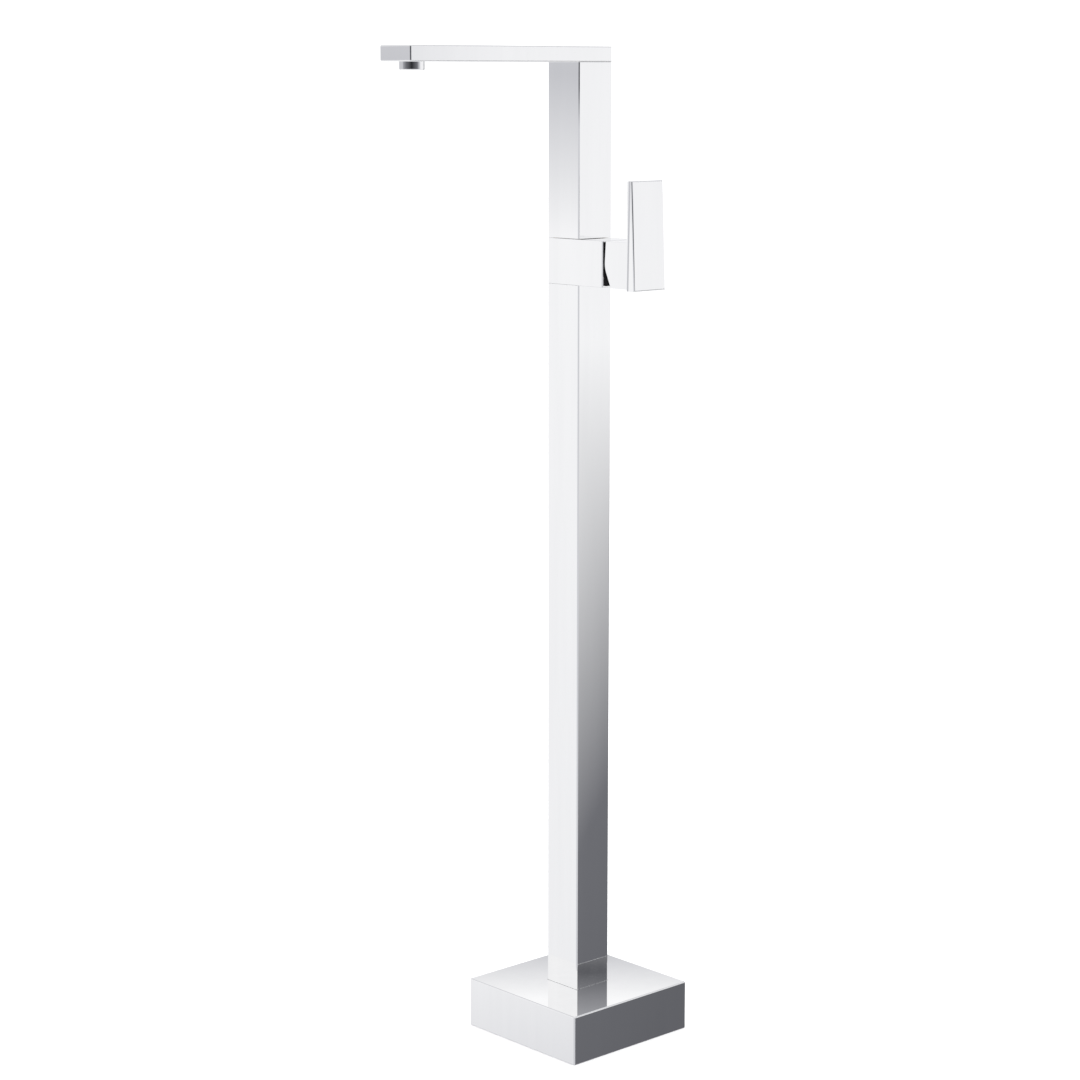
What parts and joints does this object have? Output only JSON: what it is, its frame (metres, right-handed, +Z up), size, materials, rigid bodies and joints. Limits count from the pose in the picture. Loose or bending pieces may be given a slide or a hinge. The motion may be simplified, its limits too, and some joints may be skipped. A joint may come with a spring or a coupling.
{
  "type": "floor standing bath filler",
  "caption": "Square chrome bath filler on a floor column, with a flat spout arm and a single tilting and turning lever.",
  "frame": {"origin": "centre of the base on the floor", "axes": "+Z up the column; the spout arm points along -X and the lever faces -Y"},
  "size_m": [0.312, 0.1774, 1],
  "materials": {
    "chrome": "bright chrome plate",
    "brass": "machined brass",
    "copper": "drawn copper tube",
    "steel": "stainless steel",
    "zinc_steel": "zinc plated steel",
    "rubber": "black EPDM rubber",
    "black_plastic": "black moulded plastic",
    "white_plastic": "white moulded plastic",
    "grey_ceramic": "ground alumina"
  },
  "bodies": {
    "stand": {"floor_gasket": "rubber", "floor_flange": "zinc_steel", "column_socket": "zinc_steel", "socket_bolts": "steel", "column_clamp_screws": "steel", "column_tube": "chrome", "hot_supply_pipe": "copper", "cold_supply_pipe": "copper", "hot_inlet_tail": "brass", "cold_inlet_tail": "brass", "pipe_spacers": "white_plastic", "valve_body": "chrome", "pipe_seals": "rubber", "body_lock_screws": "steel", "cartridge_base": "white_plastic", "cartridge_port_seals": "rubber", "cartridge_housing": "white_plastic", "fixed_disc": "grey_ceramic", "retaining_nut": "brass", "cartridge_cover": "black_plastic", "outlet_nipple": "brass", "nipple_seals": "rubber", "swivel_washer": "white_plastic"},
    "base_cover": {"base_cover": "chrome", "cover_seal": "rubber"},
    "lever_carrier": {"lever_carrier": "white_plastic", "pivot_pin": "steel"},
    "sliding_disc": {"moving_disc": "grey_ceramic", "disc_driver": "white_plastic"},
    "lever": {"lever_stem": "steel", "lever_handle": "chrome", "handle_grub_screw": "steel", "handle_plug": "black_plastic"},
    "spout": {"riser_socket": "brass", "swivel_stop_screw": "steel", "spout_riser": "chrome", "spout_arm": "chrome", "aerator_housing": "chrome", "aerator_insert": "white_plastic", "aerator_washer": "rubber"}
  },
  "joints": [
    {"name": "cover_lift", "type": "slide", "parent": "stand", "child": "base_cover", "axis": [0, 0, 1], "range_m": [0, 0.3]},
    {"name": "temperature_turn", "type": "hinge", "parent": "stand", "child": "lever_carrier", "pos_m": [0, -0.0555, 0.7925], "axis": [0, 1, 0], "range_deg": [-45, 45]},
    {"name": "flow_tilt", "type": "hinge", "parent": "lever_carrier", "child": "lever", "pos_m": [0, -0.0505, 0.7925], "axis": [1, 0, 0], "range_deg": [0, 25]},
    {"name": "disc_slide", "type": "slide", "parent": "lever_carrier", "child": "sliding_disc", "axis": [0, 0, 1], "range_m": [0, 0.004]},
    {"name": "spout_swivel", "type": "hinge", "parent": "stand", "child": "spout", "pos_m": [0, 0, 0.815], "axis": [0, 0, 1], "range_deg": [-90, 90]}
  ],
  "couplings": [
    {"joint": "disc_slide", "follows": "flow_tilt", "m_per_rad": 0.0091}
  ]
}
